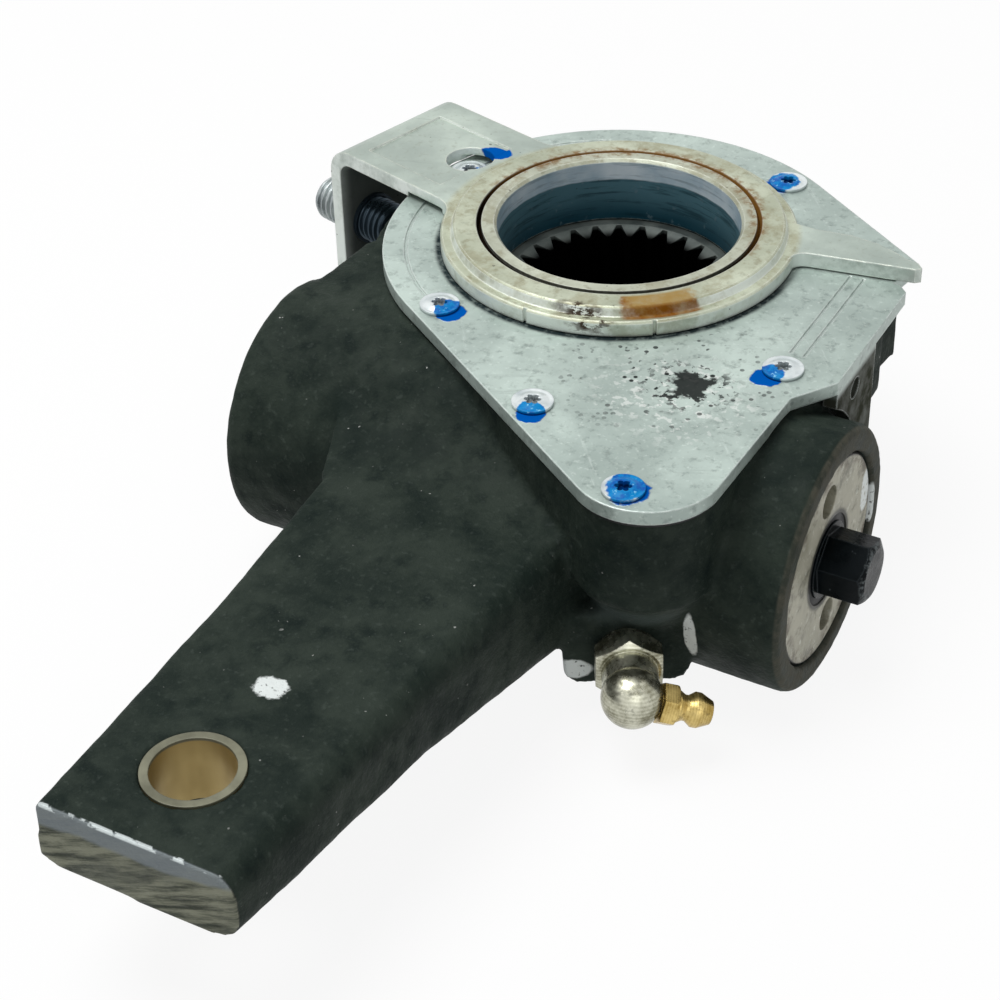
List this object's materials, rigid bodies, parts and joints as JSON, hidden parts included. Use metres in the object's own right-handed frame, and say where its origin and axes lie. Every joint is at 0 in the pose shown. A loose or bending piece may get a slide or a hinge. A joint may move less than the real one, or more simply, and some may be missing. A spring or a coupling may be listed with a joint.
{
  "type": "automatic brake slack adjuster",
  "caption": "Automatic brake slack adjuster: lever casting with a clevis bush, splined worm wheel, worm with an adjusting hexagon, rack-driven control unit and a fixing arm.",
  "frame": {"origin": "On the camshaft axis, at the height of the worm axis, which is mid-height of the housing.", "axes": "+Z along the camshaft towards the control arm; the lever points along -Y; the adjusting hexagon points along +X."},
  "size_m": [0.1496, 0.2166, 0.0594],
  "materials": {
    "casting": "dark phosphated casting, rough",
    "bronze": "rolled bronze bush",
    "gear_steel": "dark machined steel",
    "black_steel": "blackened steel",
    "bearing_steel": "polished bearing steel",
    "washer_steel": "ground steel",
    "spring_steel": "oiled spring wire",
    "cover_steel": "pressed steel disc, dull",
    "seal_rubber": "black rubber",
    "sleeve_zinc": "turned and zinc plated",
    "control_zinc": "zinc plated pressing, stained",
    "stud_zinc": "zinc plated thread",
    "plate_zinc": "zinc plated sheet, worn",
    "screw_zinc": "bright zinc, blue paint marks",
    "nickel": "nickel plated",
    "brass": "turned brass"
  },
  "bodies": {
    "base": {"housing": "casting", "clevis_bush": "bronze", "hub_seal": "seal_rubber", "pressure_plate": "washer_steel", "main_spring": "spring_steel", "spring_seat": "washer_steel", "pinion_washer": "washer_steel", "worm_cover": "cover_steel", "worm_cover_seal": "seal_rubber", "shaft_seal": "seal_rubber", "rack_spring": "spring_steel", "control_seal": "seal_rubber", "cover_gasket": "seal_rubber", "cover_plate": "plate_zinc", "cover_screws": "screw_zinc", "grease_elbow": "nickel", "grease_nipple": "brass"},
    "wheel": {"worm_wheel": "gear_steel"},
    "worm": {"worm_shaft": "black_steel", "thrust_race": "bearing_steel", "thrust_balls": "bearing_steel", "coupling_ring": "gear_steel", "clutch_hub": "gear_steel"},
    "pinion": {"adjusting_pinion": "gear_steel", "clutch_spring": "spring_steel"},
    "rack": {"rack": "gear_steel"},
    "control": {"control_disc": "sleeve_zinc", "control_arm": "control_zinc", "anchor_stud": "stud_zinc", "anchor_washer": "stud_zinc"},
    "check_ball": {"nipple_ball": "bearing_steel"}
  },
  "joints": [
    {"name": "wheel_spin", "type": "hinge", "parent": "base", "child": "wheel", "pos_m": [0, 0, 0], "axis": [0, 0, 1], "continuous": true},
    {"name": "worm_spin", "type": "hinge", "parent": "base", "child": "worm", "pos_m": [0, -0.0405, 0], "axis": [1, 0, 0], "continuous": true},
    {"name": "control_swing", "type": "hinge", "parent": "base", "child": "control", "pos_m": [0, 0, 0], "axis": [0, 0, 1], "range_deg": [-6, 18]},
    {"name": "rack_slide", "type": "slide", "parent": "base", "child": "rack", "axis": [0, 1, 0], "range_m": [-0.004, 0.0112], "deforming": ["rack_spring"]},
    {"name": "pinion_spin", "type": "hinge", "parent": "base", "child": "pinion", "pos_m": [0, -0.0405, 0], "axis": [1, 0, 0], "range_deg": [-57, 20]},
    {"name": "check_ball_slide", "type": "slide", "parent": "base", "child": "check_ball", "axis": [-0.8282, -0.4782, 0.2924], "range_m": [0, 0.0008], "stiffness_N_per_m": 200}
  ],
  "couplings": [
    {"joint": "worm_spin", "follows": "wheel_spin", "ratio": -24},
    {"joint": "rack_slide", "follows": "control_swing", "m_per_rad": 0.035},
    {"joint": "pinion_spin", "follows": "control_swing", "ratio": -3.1111}
  ]
}
